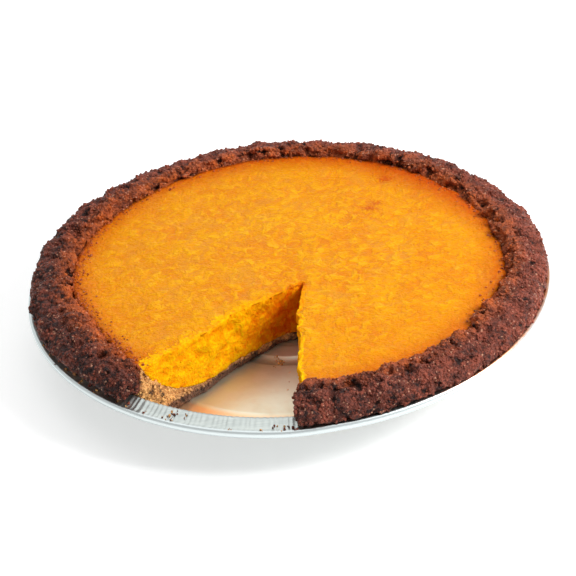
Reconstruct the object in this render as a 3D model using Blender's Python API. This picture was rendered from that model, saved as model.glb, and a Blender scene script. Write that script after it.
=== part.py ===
"""A sweet potato pie in its foil pan, with one slice taken out.

Run it with: blender --background --python part.py

Metres, +Z up. The origin is on the pan's axis, on the surface that the pan stands on.
The missing slice opens towards -Y. The crust and the filling are swept round the tip of
that slice, so that both cut faces are whole sections of the pie.
"""

import math

import bmesh
import bpy
from mathutils import Matrix, Vector, noise

# Foil pan: a 9 inch pan, 244 mm across its rolled edge.
FOIL = 0.0004
PAN_RADIUS = 0.1220
ROLL_RADIUS = 0.0011
FLANGE_TOP = 0.0262
FLANGE_INNER_RADIUS = 0.1134
WALL_FOOT_RADIUS = 0.0942
WALL_FOOT_HEIGHT = 0.0020
BASE_FLAT_RADIUS = 0.0918
RAISED_RADIUS = 0.0790
RAISED_HEIGHT = 0.0006
STEP_WIDTH = 0.0012
GROOVE_INNER_RADIUS = 0.0340
GROOVE_OUTER_RADIUS = 0.0410
GROOVE_DEPTH = 0.0005
FLUTES = 72
FLUTE_DEPTH = 0.0003

# Pieces that touch keep this gap.
FIT_GAP = 0.0003

# The missing slice: where its tip is, and which way each cut runs from there.
SLICE_TIP = Vector((0.0067, -0.0184))
RIGHT_CUT = math.radians(-94.0)
LEFT_CUT = math.radians(-139.9)

# Filling. Its edge is uneven: azimuth in degrees, then radius.
FILLING_TOP = 0.0310
FILLING_EDGE = (
    (-180, 0.1010),
    (-157, 0.0970),
    (-142, 0.0985),
    (-130, 0.1034),
    (-94, 0.1005),
    (-60, 0.1003),
    (-43, 0.1020),
    (-30, 0.0992),
    (-15, 0.1022),
    (5, 0.1000),
    (35, 0.1012),
    (60, 0.1040),
    (95, 0.1045),
    (115, 0.1026),
    (140, 0.1005),
    (160, 0.1014),
    (180, 0.1010),
)

# Crumb crust
BOTTOM_CRUST = 0.0040
WALL_BEND_RADIUS = 0.0580
CREST_HEIGHT = 0.0355
CREST_RADIUS = 0.1065
CRUST_RADIUS = 0.1208
CRUST_EDGE_HEIGHT = 0.0278

# The left cut bows away from the missing slice and leans into it a little. The crust's end
# spreads over the flange.
BOW = 0.0055
BOW_REACH = 0.0950
BOW_SPREAD = math.radians(32)
LEAN = 0.016
TOE = 0.0065
TOE_REACH = 0.0150

# Relief
SLICES = 104
CAP_ROWS = 2
CAP_CUTS = 2
CRUMB_LUMP = 0.0016
CRUMB_LUMP_SIZE = 0.0100
CUT_ROUGHNESS = 0.0009
CUT_GRAIN = 0.0060
CUT_FINISH = 1
CREST_WANDER = 0.0008
CREST_WANDER_SIZE = 0.0400
SURFACE_WAVE = 0.0004
SURFACE_WAVE_SIZE = 0.0300

PAN_SEGMENTS = 2 * FLUTES
SMOOTH_ANGLE = math.radians(40)


def clear_scene():
    for thing in list(bpy.data.objects):
        bpy.data.objects.remove(thing)


def material(name, colour, roughness, metallic=0.0):
    made = bpy.data.materials.new(name)
    made.use_nodes = True
    shader = made.node_tree.nodes["Principled BSDF"]
    shader.inputs["Base Color"].default_value = (*colour, 1.0)
    shader.inputs["Roughness"].default_value = roughness
    shader.inputs["Metallic"].default_value = metallic
    return made


def finish_object(name, shape, *finishes):
    """Turns a bmesh into the named object, smooth where it is round."""
    bmesh.ops.recalc_face_normals(shape, faces=shape.faces)
    mesh = bpy.data.meshes.new(name)
    shape.to_mesh(mesh)
    shape.free()
    for finish in finishes:
        mesh.materials.append(finish)
    mesh.shade_smooth()
    mesh.set_sharp_from_angle(angle=SMOOTH_ANGLE)
    made = bpy.data.objects.new(name, mesh)
    bpy.context.scene.collection.objects.link(made)
    return made


def parallel(section, distance):
    """The line of (radius, height) points that runs this far to the left of the given one."""
    steps = [(b - a).normalized() for a, b in zip(section, section[1:])]
    lefts = [Vector((-step.y, step.x)) for step in steps]
    made = []
    for index, point in enumerate(section):
        before = lefts[max(index - 1, 0)]
        after = lefts[min(index, len(lefts) - 1)]
        middle = (before + after).normalized()
        made.append(point + middle * distance / middle.dot(before))
    return made


# The pan


def pan_floor():
    """The base's upper face from the middle to its rounded corner, with its pressed rings."""
    low = FOIL
    high = FOIL + RAISED_HEIGHT
    groove = high - GROOVE_DEPTH
    ramp = STEP_WIDTH
    return [
        Vector((GROOVE_INNER_RADIUS, high)),
        Vector((GROOVE_INNER_RADIUS + ramp, groove)),
        Vector((GROOVE_OUTER_RADIUS - ramp, groove)),
        Vector((GROOVE_OUTER_RADIUS, high)),
        Vector((RAISED_RADIUS - ramp, high)),
        Vector((RAISED_RADIUS, low)),
        Vector((BASE_FLAT_RADIUS, low)),
    ]


def pan_section():
    """Rings of the pan in order: upper face outwards, round the rolled edge, lower face inwards.

    Each ring is (radius, height, flute weight, segments)."""
    upper = pan_floor() + [
        Vector((WALL_FOOT_RADIUS, WALL_FOOT_HEIGHT)),
        Vector((FLANGE_INNER_RADIUS, FLANGE_TOP)),
        Vector((PAN_RADIUS - 2 * ROLL_RADIUS, FLANGE_TOP)),
    ]
    lower = parallel(upper, -FOIL)
    base_rings = len(pan_floor())
    segments = [FLUTES] * base_rings + [PAN_SEGMENTS] * (len(upper) - base_rings)
    weights = [0.0] * (base_rings + 1) + [1.0, 1.0]
    centre = Vector((PAN_RADIUS - ROLL_RADIUS, FLANGE_TOP - 0.9 * ROLL_RADIUS))
    roll = []
    for angle, weight in ((72, 1.0), (0, 0.0), (-72, 0.0), (-144, 0.0), (-216, 1.0)):
        turn = math.radians(angle)
        point = centre + ROLL_RADIUS * Vector((math.cos(turn), math.sin(turn)))
        roll.append((point, weight, PAN_SEGMENTS))
    rings = list(zip(upper, weights, segments))[:-1] + roll
    rings += list(zip(lower, weights, segments))[-2::-1]
    return rings


def pan_ring(shape, point, weight, segments):
    """One ring of vertices. The flutes move it up and down by turns."""
    made = []
    for index in range(segments):
        turn = 2 * math.pi * index / segments
        wave = 1 if index % 2 else -1
        height = point.y + wave * weight * FLUTE_DEPTH
        made.append(shape.verts.new((point.x * math.cos(turn), point.x * math.sin(turn), height)))
    return made


def join_rings(shape, first, second):
    """Faces between two rings. One may have twice the other's vertices."""
    if len(first) > len(second):
        first, second = second, first
    count = len(first)
    for index in range(count):
        following = (index + 1) % count
        if len(second) == count:
            corners = (first[index], first[following], second[following], second[index])
            shape.faces.new(corners)
            continue
        near, middle, far = (second[(2 * index + step) % len(second)] for step in range(3))
        shape.faces.new((first[index], middle, near))
        shape.faces.new((first[index], first[following], middle))
        shape.faces.new((first[following], far, middle))


def build_pan():
    shape = bmesh.new()
    rings = [pan_ring(shape, *ring) for ring in pan_section()]
    for first, second in zip(rings, rings[1:]):
        join_rings(shape, first, second)
    heights = (FOIL + RAISED_HEIGHT, RAISED_HEIGHT)
    for ring, height in zip((rings[0], rings[-1]), heights):
        centre = shape.verts.new((0, 0, height))
        for index, vertex in enumerate(ring):
            shape.faces.new((vertex, ring[index - 1], centre))
    return finish_object("pie_pan", shape, material("foil", (0.80, 0.82, 0.84), 0.35, 1.0))


# The food: shared outlines


def ray_turns():
    """Directions of the section planes, from the right cut round the back to the left cut."""
    sweep = LEFT_CUT + 2 * math.pi - RIGHT_CUT
    return [RIGHT_CUT + sweep * index / SLICES for index in range(SLICES + 1)]


def reach_of(turn, radius):
    """How far the ray that leaves the slice's tip in this direction runs to this radius."""
    along = SLICE_TIP.dot(Vector((math.cos(turn), math.sin(turn))))
    return math.sqrt(along**2 - SLICE_TIP.length_squared + radius**2) - along


def bowed(turn, radius):
    """The direction of a section plane at this radius, bent near the left cut."""
    before_cut = LEFT_CUT + 2 * math.pi - turn
    share = max(1 - before_cut / BOW_SPREAD, 0.0)
    reach = reach_of(turn, radius)
    bend = BOW * math.sin(math.pi * min(reach / BOW_REACH, 1.0))
    return turn - bend / reach * share**2 * (3 - 2 * share)


def at(turn, point):
    """The place in space of a (radius, height) point on the section plane of this direction."""
    turn = bowed(turn, point.x)
    reach = reach_of(turn, point.x)
    across = Vector((math.cos(turn), math.sin(turn)))
    return (SLICE_TIP + reach * across).to_3d() + Vector((0, 0, point.y))


def tip_at(height):
    return SLICE_TIP.to_3d() + Vector((0, 0, height))


def inner_radius(turn):
    """How far the filling's edge is from the axis on this section plane."""
    place = at(turn, Vector((CREST_RADIUS, 0)))
    azimuth = math.degrees(math.atan2(place.y, place.x))
    for (low, near), (high, far) in zip(FILLING_EDGE, FILLING_EDGE[1:]):
        if low <= azimuth <= high:
            share = (azimuth - low) / (high - low)
            return near + (far - near) * share**2 * (3 - 2 * share)
    return FILLING_EDGE[0][1]


def crest_wander(turn, seed):
    """A slow rise and fall round the pie, from about -1 to 1."""
    around = Vector((math.cos(turn), math.sin(turn), seed))
    return 2 * noise.noise(around * CREST_RADIUS / CREST_WANDER_SIZE)


def crust_floor_top():
    return FOIL + RAISED_HEIGHT + FIT_GAP + BOTTOM_CRUST


def crust_inside(turn):
    """The crust's face under and round the filling: a flat floor that sweeps up to the rim."""
    edge = inner_radius(turn)
    floor = crust_floor_top()
    bend = WALL_BEND_RADIUS
    made = []
    for share in (0.0, 0.38, 0.64, 0.82, 0.94, 1.0):
        rise = 0.45 * share**2 + 0.55 * share**7
        made.append(Vector((bend + share * (edge - bend), floor + rise * (FILLING_TOP - floor))))
    return made


def crust_dome(turn):
    """The crust's bare top: up from the filling's edge to the crest, then down to the outer edge."""
    edge = inner_radius(turn)
    crest = CREST_HEIGHT + CREST_WANDER * crest_wander(turn, 4.1)
    crest_radius = CREST_RADIUS + CREST_WANDER * crest_wander(turn, 0.3)
    made = []
    for angle in (45, 90):
        rise = math.radians(angle)
        radius = crest_radius - (crest_radius - edge) * math.cos(rise)
        made.append(Vector((radius, FILLING_TOP + (crest - FILLING_TOP) * math.sin(rise))))
    for angle in (18, 36, 54, 72, 90):
        fall = math.radians(angle)
        radius = crest_radius + (CRUST_RADIUS - crest_radius) * math.sin(fall)
        height = CRUST_EDGE_HEIGHT + (crest - CRUST_EDGE_HEIGHT) * math.cos(fall)
        made.append(Vector((radius, height)))
    return made


def crust_outside():
    """The crust's face on the pan, from under the slice's tip to the flange."""
    base = FOIL + FIT_GAP
    raised = base + RAISED_HEIGHT
    lift = FIT_GAP + FLUTE_DEPTH
    run = Vector((FLANGE_INNER_RADIUS - WALL_FOOT_RADIUS, FLANGE_TOP - WALL_FOOT_HEIGHT))
    off_wall = lift * run.length / run.y
    wall = [
        Vector((WALL_FOOT_RADIUS - off_wall, WALL_FOOT_HEIGHT)) + share * run
        for share in (0.01, 0.2, 0.4, 0.6, 0.8, 0.99)
    ]
    return [
        Vector((WALL_BEND_RADIUS, raised)),
        Vector((RAISED_RADIUS - STEP_WIDTH, raised)),
        Vector((RAISED_RADIUS, base)),
        Vector((BASE_FLAT_RADIUS - FIT_GAP, base)),
        *wall,
        Vector((FLANGE_INNER_RADIUS, FLANGE_TOP + lift)),
        Vector((CRUST_RADIUS - ROLL_RADIUS, FLANGE_TOP + lift)),
    ]


def lumps(place):
    """Crumb lumps from -1 to 1, in two sizes."""
    coarse = noise.noise(place / CRUMB_LUMP_SIZE)
    fine = noise.noise(place * 2.3 / CRUMB_LUMP_SIZE)
    return coarse + 0.7 * fine


# The food: solids swept round the slice's tip


def sweep_food(upper, lower):
    """A closed block between two faces. upper(turn) and lower(turn) list the same number of
    places on each section plane, from the tip outwards, and end in one shared place."""
    shape = bmesh.new()
    turns = ray_turns()
    above = [upper(turn) for turn in turns]
    below = [lower(turn) for turn in turns]
    columns = len(above[0]) - 1
    made = {}

    def vertex(plane, column, row):
        key = (
            plane if column else None,
            column,
            row if column < columns else None,
        )
        if key not in made:
            low, high = below[plane][column], above[plane][column]
            made[key] = shape.verts.new(low.lerp(high, row / CAP_ROWS))
        return made[key]

    def face(*corners):
        distinct = list(dict.fromkeys(corners))
        return shape.faces.new(distinct) if len(distinct) > 2 else None

    for plane in range(SLICES):
        for column in range(columns):
            for row in (0, CAP_ROWS):
                face(
                    vertex(plane, column, row),
                    vertex(plane + 1, column, row),
                    vertex(plane + 1, column + 1, row),
                    vertex(plane, column + 1, row),
                )
    edges = set()
    for plane in (0, SLICES):
        for column in range(columns):
            for row in range(CAP_ROWS):
                cap = face(
                    vertex(plane, column, row),
                    vertex(plane, column + 1, row),
                    vertex(plane, column + 1, row + 1),
                    vertex(plane, column, row + 1),
                )
                cap.material_index = CUT_FINISH
                edges.update(cap.edges)
    bmesh.ops.subdivide_edges(shape, edges=list(edges), cuts=CAP_CUTS, use_grid_fill=True)
    return shape


def toe_share(place):
    """From 1 on the pan's wall at the flange to 0 down at the floor or some way into the food."""
    slope = (FLANGE_INNER_RADIUS - WALL_FOOT_RADIUS) / (FLANGE_TOP - WALL_FOOT_HEIGHT)
    wall_radius = WALL_FOOT_RADIUS + slope * (place.z - WALL_FOOT_HEIGHT)
    apart = abs(wall_radius - place.xy.length)
    near_wall = min(max(1.5 * (1 - apart / TOE_REACH), 0.0), 1.0)
    return near_wall * min(place.z / FLANGE_TOP, 1.0)


def shape_cuts(shape, toe):
    """Gives both cut faces a broken surface, and slumps the left one into the missing slice.

    Each place turns about the pan's axis, so that it keeps its distance from the pan."""
    middle = (LEFT_CUT + RIGHT_CUT) / 2
    faces = [face for face in shape.faces if face.material_index == CUT_FINISH]
    for vertex in {vertex for face in faces for vertex in face.verts}:
        offset = (vertex.co - SLICE_TIP.to_3d()).xy
        if offset.length < CUT_GRAIN:
            continue
        move = CUT_ROUGHNESS * noise.noise(vertex.co / CUT_GRAIN)
        if math.atan2(offset.y, offset.x) < middle:
            move += LEAN * offset.length * max(1 - vertex.co.z / FILLING_TOP, 0.0)
            move += toe * toe_share(vertex.co)
        vertex.co.rotate(Matrix.Rotation(move / vertex.co.xy.length, 3, "Z"))


def crust_top(turn):
    """The crust's upper face on one section plane, with crumb lumps where it is bare."""
    dome = crust_dome(turn)
    outwards = Vector((math.cos(turn), math.sin(turn), 0))
    hidden = crust_inside(turn)
    bare = []
    line = [hidden[-1], *dome]
    for before, point, after in zip(line, dome, dome[1:]):
        slope = (after - before).normalized()
        lift = Vector((-slope.y, slope.x))
        place = at(turn, point)
        push = CRUMB_LUMP * lumps(place)
        bare.append(place + push * (lift.x * outwards + lift.y * Vector((0, 0, 1))))
    covered = [at(turn, point) for point in hidden]
    return [tip_at(crust_floor_top()), *covered, *bare, at(turn, dome[-1])]


def crust_bottom(turn):
    dome_edge = at(turn, crust_dome(turn)[-1])
    outside = [at(turn, point) for point in crust_outside()]
    return [tip_at(FOIL + RAISED_HEIGHT + FIT_GAP), *outside, dome_edge]


def build_crust():
    shape = sweep_food(crust_top, crust_bottom)
    shape_cuts(shape, TOE)
    browned = material("browned_crumbs", (0.16, 0.055, 0.025), 0.9)
    inside = material("crumbs_inside", (0.50, 0.26, 0.10), 0.9)
    return finish_object("crust", shape, browned, inside)


def filling_section(turn):
    """The filling's hidden face: the crust's inside, a gap away."""
    return parallel(crust_inside(turn), FIT_GAP)


def filling_top(turn):
    edge = filling_section(turn)[-1]
    shares = (0.30, 0.52, 0.72, 0.88, 0.96)
    made = [tip_at(FILLING_TOP)]
    for share in shares:
        place = at(turn, Vector((share * edge.x, FILLING_TOP)))
        wave = SURFACE_WAVE * noise.noise(place / SURFACE_WAVE_SIZE)
        made.append(place + Vector((0, 0, wave)))
    return [*made, at(turn, edge)]


def filling_bottom(turn):
    hidden = [at(turn, point) for point in filling_section(turn)]
    return [tip_at(crust_floor_top() + FIT_GAP), *hidden]


def build_filling():
    shape = sweep_food(filling_top, filling_bottom)
    shape_cuts(shape, 0.0)
    baked = material("baked_sweet_potato", (0.80, 0.28, 0.02), 0.45)
    inside = material("sweet_potato_inside", (0.90, 0.40, 0.01), 0.7)
    return finish_object("filling", shape, baked, inside)


clear_scene()
build_pan()
build_crust()
build_filling()
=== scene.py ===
# %% [markdown]
# # A sweet potato pie in its foil pan
#
# The pie has three big pieces: a pan of thin pressed foil, a thick crust of baked crumbs
# and a smooth filling. One slice is missing, so both cut faces and the bare base of the
# pan show. The solids of these pieces are already made and packed. This lesson gives each
# of them the fine form and the finish that make it look like food and foil.
#
# All sizes are in metres. The origin is on the pan's axis, on the table, and +Z is up.

import math
import random
from functools import partial
from types import SimpleNamespace

import bmesh
import bpy
from mathutils import Matrix, Vector, noise


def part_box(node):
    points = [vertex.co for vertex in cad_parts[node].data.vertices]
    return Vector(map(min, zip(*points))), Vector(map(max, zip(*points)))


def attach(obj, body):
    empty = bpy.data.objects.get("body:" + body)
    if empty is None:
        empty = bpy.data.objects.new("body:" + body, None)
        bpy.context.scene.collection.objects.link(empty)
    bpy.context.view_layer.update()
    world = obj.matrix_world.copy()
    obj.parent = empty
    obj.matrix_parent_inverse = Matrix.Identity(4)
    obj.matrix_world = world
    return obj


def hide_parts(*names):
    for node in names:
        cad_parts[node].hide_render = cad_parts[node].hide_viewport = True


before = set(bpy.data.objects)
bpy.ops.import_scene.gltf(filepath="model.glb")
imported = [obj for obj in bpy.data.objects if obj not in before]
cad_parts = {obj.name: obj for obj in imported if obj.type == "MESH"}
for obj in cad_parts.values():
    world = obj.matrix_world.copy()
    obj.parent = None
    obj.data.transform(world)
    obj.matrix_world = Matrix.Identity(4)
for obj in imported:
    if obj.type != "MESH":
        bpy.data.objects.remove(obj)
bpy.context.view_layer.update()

# %% [markdown]
# ## Camera
#
# The pie is seen from the front and a little above, through a long lens, so its far side
# is hardly smaller than its near side. The camera is rolled a few degrees, which lifts
# the pie's right side in the picture. It is placed first, because every later choice of
# light and grain is judged through it.

# %% Camera
CAMERA_PLACE = Vector((0.0, -0.6787, 0.4486))
CAMERA_AIM = Vector((-0.0004, 0.0, 0.0167))
CAMERA_ROLL = math.radians(-4.42)
CAMERA_LENS = 106.45


def place_and_aim(thing, place, target, roll=0.0):
    """Puts a camera or lamp at a place and points it at a target."""
    turned = (target - place).to_track_quat("-Z", "Y").to_matrix()
    turned = turned @ Matrix.Rotation(roll, 3, "Z")
    thing.matrix_world = Matrix.LocRotScale(place, turned, None)


camera = bpy.data.objects.new("camera", bpy.data.cameras.new("camera"))
camera.data.lens = CAMERA_LENS
bpy.context.scene.collection.objects.link(camera)
bpy.context.scene.camera = camera
place_and_aim(camera, CAMERA_PLACE, CAMERA_AIM, CAMERA_ROLL)

# %% [markdown]
# ## Helpers for node trees
#
# Materials and Geometry Nodes are both trees of nodes, so the same few helpers build
# both. A `Value` is what one node puts out. Values are added and multiplied like numbers,
# and every such step is a node, so a rule for colour or relief reads as a formula here.

# %% Node helpers


class Value:
    """A number, vector, colour or geometry that a node puts out."""

    def __init__(self, tree, socket):
        self.tree = tree
        self.socket = socket

    def feed(self, socket):
        self.tree.links.new(self.socket, socket)

    def math(self, operation, *others):
        return calculate(self.tree, operation, self, *others)

    def vector(self, operation, *others):
        output = 1 if operation in ("LENGTH", "DISTANCE", "DOT_PRODUCT") else 0
        values = dict(enumerate((self, *others)))
        return result_of(self.tree, "ShaderNodeVectorMath", values, output, operation=operation)

    def scaled(self, factor):
        values = {0: self, "Scale": factor}
        return result_of(self.tree, "ShaderNodeVectorMath", values, operation="SCALE")

    def remap(self, low, high, to_low=0.0, to_high=1.0):
        """The range from low to high, stretched to another range and held at its ends."""
        values = {0: self, 1: low, 2: high, 3: to_low, 4: to_high}
        return result_of(self.tree, "ShaderNodeMapRange", values)

    def __add__(self, other):
        return self.math("ADD", other)

    def __sub__(self, other):
        return self.math("SUBTRACT", other)

    def __mul__(self, other):
        return self.math("MULTIPLY", other)

    def __truediv__(self, other):
        return self.math("DIVIDE", other)

    def __rsub__(self, other):
        return calculate(self.tree, "SUBTRACT", other, self)

    def __rtruediv__(self, other):
        return calculate(self.tree, "DIVIDE", other, self)


def add_node(tree, kind, values=None, **settings):
    """A node with its settings, and its inputs by name or number."""
    made = tree.nodes.new(kind)
    for name, setting in settings.items():
        setattr(made, name, setting)
    for key, value in (values or {}).items():
        if isinstance(value, Value):
            value.feed(made.inputs[key])
        else:
            made.inputs[key].default_value = value
    return made


def result_of(tree, kind, values=None, output=0, **settings):
    """What such a node puts out."""
    return Value(tree, add_node(tree, kind, values, **settings).outputs[output])


def calculate(tree, operation, *values):
    return result_of(tree, "ShaderNodeMath", dict(enumerate(values)), operation=operation)


def noise_at(place, scale, detail=2.0, twist=0.0, output=0):
    """Cloudy noise. Output 0 is a number round 0.5, output 1 a colour."""
    values = {"Vector": place, "Scale": scale, "Detail": detail, "Distortion": twist}
    return result_of(place.tree, "ShaderNodeTexNoise", values, output)


def jitter(place, scale, detail=2.0):
    """A shift to any side, up to about half a unit."""
    return noise_at(place, scale, detail, output=1).vector("SUBTRACT", (0.5, 0.5, 0.5))


def rounded_lumps(place, size):
    """Rounded lumps of about this size, packed side by side: 1 on top, 0 in the cracks."""
    values = {"Vector": place, "Scale": 1.0 / size}
    from_middle = result_of(place.tree, "ShaderNodeTexVoronoi", values, "Distance")
    return 1.0 - from_middle.math("POWER", 2.0)


def blend(mask, first, second):
    """The first colour where the mask is 0, the second where it is 1."""
    values = {0: mask, 6: first, 7: second}
    return result_of(mask.tree, "ShaderNodeMix", values, 2, data_type="RGBA")


def blend_all(base, layers):
    """A colour with more colours laid over it, each through its own mask."""
    for mask, tint in layers:
        base = blend(mask, base, tint)
    return base


def colour(red, green, blue):
    """A colour from the 0 to 255 scale of paint programs, as the light values Blender uses."""
    shares = [channel / 255 for channel in (red, green, blue)]
    light = [(s / 12.92 if s <= 0.04045 else ((s + 0.055) / 1.055) ** 2.4) for s in shares]
    return (*light, 1.0)


# %% Groups with named inputs
SOCKETS = {float: "NodeSocketFloat", int: "NodeSocketInt", str: "NodeSocketString"}


def group_ends(tree, sizes):
    """Gives a tree these sizes as named inputs with their usual values, and its two ends."""
    for name, value in sizes.items():
        label = name.replace("_", " ").title()
        made = tree.interface.new_socket(label, in_out="INPUT", socket_type=SOCKETS[type(value)])
        made.default_value = value
    given = SimpleNamespace()
    for socket in tree.nodes.new("NodeGroupInput").outputs:
        setattr(given, socket.name.lower().replace(" ", "_"), Value(tree, socket))
    return tree, given, tree.nodes.new("NodeGroupOutput").inputs


def shader_group(name, outputs, **sizes):
    tree = bpy.data.node_groups.new(name, "ShaderNodeTree")
    for label in outputs:
        tree.interface.new_socket(label, in_out="OUTPUT", socket_type="NodeSocketFloat")
    return group_ends(tree, sizes)


def geometry_tree(name, **sizes):
    tree = bpy.data.node_groups.new(name, "GeometryNodeTree")
    for way in ("INPUT", "OUTPUT"):
        tree.interface.new_socket("Geometry", in_out=way, socket_type="NodeSocketGeometry")
    tree.interface.new_socket("Finish", in_out="INPUT", socket_type="NodeSocketMaterial")
    return group_ends(tree, sizes)


# %% [markdown]
# ## Helpers for Geometry Nodes
#
# Fine relief and scattered crumbs follow rules, so Geometry Nodes make them. Each tree
# has named inputs for its sizes. `grow` runs a tree on a piece and keeps the result as a
# plain mesh, because other programs that open the model don't know Geometry Nodes.

# %% Geometry Nodes helpers


def grow(piece, tree, **sizes):
    """Runs a Geometry Nodes tree on a piece and keeps the result as its own mesh."""
    modifier = piece.modifiers.new(tree.name, "NODES")
    modifier.node_group = tree
    for socket in tree.interface.items_tree:
        key = socket.name.lower().replace(" ", "_")
        if socket.in_out == "INPUT" and key in sizes:
            modifier[socket.identifier] = sizes[key]
    graph = bpy.context.evaluated_depsgraph_get()
    evaluated = piece.evaluated_get(graph)
    grown = bpy.data.meshes.new_from_object(
        evaluated, preserve_all_data_layers=True, depsgraph=graph
    )
    piece.modifiers.clear()
    piece.data = grown


def position(tree):
    return result_of(tree, "GeometryNodeInputPosition")


def named_value(tree, name):
    """A number stored on the mesh under this name."""
    return result_of(tree, "GeometryNodeInputNamedAttribute", {"Name": name})


def softened(tree, name, steps):
    """A stored number, faded over the borders of its region by this many rounds of blur."""
    values = {0: named_value(tree, name), "Iterations": steps}
    return result_of(tree, "GeometryNodeBlurAttribute", values)


def store_value(geometry, name, value, domain="POINT"):
    values = {"Geometry": geometry, "Name": name, "Value": value}
    return result_of(geometry.tree, "GeometryNodeStoreNamedAttribute", values, domain=domain)


def shifted(geometry, offset):
    values = {"Geometry": geometry, "Offset": offset}
    return result_of(geometry.tree, "GeometryNodeSetPosition", values)


def push_out(geometry, distance):
    """Moves every point along its normal."""
    return shifted(geometry, result_of(geometry.tree, "GeometryNodeInputNormal").scaled(distance))


def made_real(geometry):
    return result_of(geometry.tree, "GeometryNodeRealizeInstances", {0: geometry})


def finish_tree(geometry, given, result):
    """Every tree ends in real mesh with its material."""
    values = {"Geometry": made_real(geometry), "Material": given.finish}
    result_of(geometry.tree, "GeometryNodeSetMaterial", values).feed(result["Geometry"])


def waves(place, size, detail=2.0):
    """Smooth waves of about this size, from about -1 to 1."""
    return noise_at(place, 1.0 / size, detail).remap(0.25, 0.75, -1.0, 1.0)


def bent_place(place, bend):
    """The place, shifted by a fine noise, so that no lump is a neat cell."""
    return place.vector("ADD", jitter(place, 350.0, 3.0).scaled(bend))


def flat_length(place):
    """How far a place is from the pan's axis."""
    return place.vector("MULTIPLY", (1.0, 1.0, 0.0)).vector("LENGTH")


# %% [markdown]
# ## The form of the food
#
# The crust and the filling are swept round the tip of the missing slice, as a hand fan
# opens round its pin. Each rib of the fan is a section plane, and the first and last
# planes are the two cut faces. The sizes below are the ones that the solids were made
# from, so the fine pieces fill the same space.

# %% Sizes of the food
FOIL = 0.0004
PAN_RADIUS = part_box("pie_pan")[1].x
ROLL_RADIUS = 0.0011
FLANGE_TOP = 0.0262
FLANGE_INNER_RADIUS = 0.1134
WALL_FOOT_RADIUS = 0.0942
WALL_FOOT_HEIGHT = 0.0020
BASE_FLAT_RADIUS = 0.0918
RAISED_RADIUS = 0.0790
RAISED_HEIGHT = 0.0006
STEP_WIDTH = 0.0012
FIT_GAP = 0.0003

SLICE_TIP = Vector((0.0067, -0.0184))
RIGHT_CUT = math.radians(-94.0)
LEFT_CUT = math.radians(220.1)
FILLING_TOP = 0.0310
BOTTOM_CRUST = 0.0040
CRUST_FLOOR = FOIL + RAISED_HEIGHT + FIT_GAP + BOTTOM_CRUST
WALL_BEND_RADIUS = 0.0580
CREST_HEIGHT = 0.0355
CREST_RADIUS = 0.1065
CRUST_RADIUS = 0.1208
CRUST_EDGE_HEIGHT = 0.0278

# The filling's uneven edge: azimuth in degrees, radius.
FILLING_EDGE = (
    (-180, 0.1010), (-157, 0.0970), (-142, 0.0985), (-130, 0.1034), (-94, 0.1005),
    (-60, 0.1003), (-43, 0.1020), (-30, 0.0992), (-15, 0.1022), (5, 0.1000), (35, 0.1012),
    (60, 0.1040), (95, 0.1045), (115, 0.1026), (140, 0.1005), (160, 0.1014), (180, 0.1010),
)

# How far each cut wanders off its straight line: distance from the slice's tip, then the
# shift. A plus sign turns the same way as the sweep, so it widens the left side.
LEFT_EDGE = (
    (0.000, 0.0000), (0.007, -0.0010), (0.017, -0.0014), (0.030, -0.0032), (0.042, -0.0044),
    (0.050, -0.0026), (0.056, -0.0014), (0.063, -0.0024), (0.075, -0.0012),
    (0.081, -0.0020), (0.092, -0.0006),
)
LEFT_FOOT = (
    (0.000, 0.0000), (0.015, -0.0052), (0.037, -0.0046),
    (0.048, -0.0034), (0.061, -0.0014), (0.076, -0.0015),
)
RIGHT_EDGE = (
    (0.000, 0.0000), (0.015, -0.0012), (0.021, -0.0012), (0.025, -0.0026), (0.030, -0.0008),
    (0.034, -0.0012), (0.037, -0.0026), (0.041, -0.0008), (0.047, -0.0002), (0.056, -0.0008),
    (0.066, -0.0013), (0.073, 0.0008), (0.083, 0.0015), (0.087, -0.0008), (0.096, -0.0019),
    (0.108, 0.0008),
)
LEFT_SPREAD = math.radians(32)
RIGHT_SPREAD = 0.010

# %% Places on a section plane
EDGE_WANDER = 0.0014
EDGE_WANDER_SIZE = 0.0075


def ease(share):
    share = min(max(share, 0.0), 1.0)
    return share * share * (3 - 2 * share)


def read_table(table, place):
    """The value at a place between two rows of a table, eased from row to row."""
    for (low, first), (high, second) in zip(table, table[1:]):
        if place <= high:
            return first + (second - first) * ease((place - low) / (high - low))
    return table[-1][1]


def reach_of(turn, radius):
    """How far a line that leaves the slice's tip in this direction runs to this radius."""
    along = SLICE_TIP.dot(Vector((math.cos(turn), math.sin(turn))))
    return math.sqrt(along**2 - SLICE_TIP.length_squared + radius**2) - along


def spot(turn, reach, height):
    """The place this far from the slice's tip and this high, with the wandering of the cuts."""
    rise = min(height / FILLING_TOP, 1.0)
    left = ease(1 - (LEFT_CUT - turn) / LEFT_SPREAD)
    right = ease(1 - (turn - RIGHT_CUT) * reach / RIGHT_SPREAD)
    foot, edge = read_table(LEFT_FOOT, reach), read_table(LEFT_EDGE, reach)
    shift = left * (foot + (edge - foot) * rise)
    shift += right * rise**2 * read_table(RIGHT_EDGE, reach)
    if reach > 0:
        turn += shift / reach
    return Vector(
        (SLICE_TIP.x + reach * math.cos(turn), SLICE_TIP.y + reach * math.sin(turn), height)
    )


def at(turn, point):
    """The place of a (radius, height) point on the section plane of this direction."""
    return spot(turn, reach_of(turn, point.x), point.y)


def edge_radius(place):
    """How far the filling's ragged edge is from the axis, in the direction of this place."""
    outwards = Vector((place.x, place.y, 0)).normalized()
    azimuth = math.degrees(math.atan2(outwards.y, outwards.x))
    wander = noise.noise(outwards * CREST_RADIUS / EDGE_WANDER_SIZE)
    return read_table(FILLING_EDGE, azimuth) + EDGE_WANDER * wander


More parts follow.
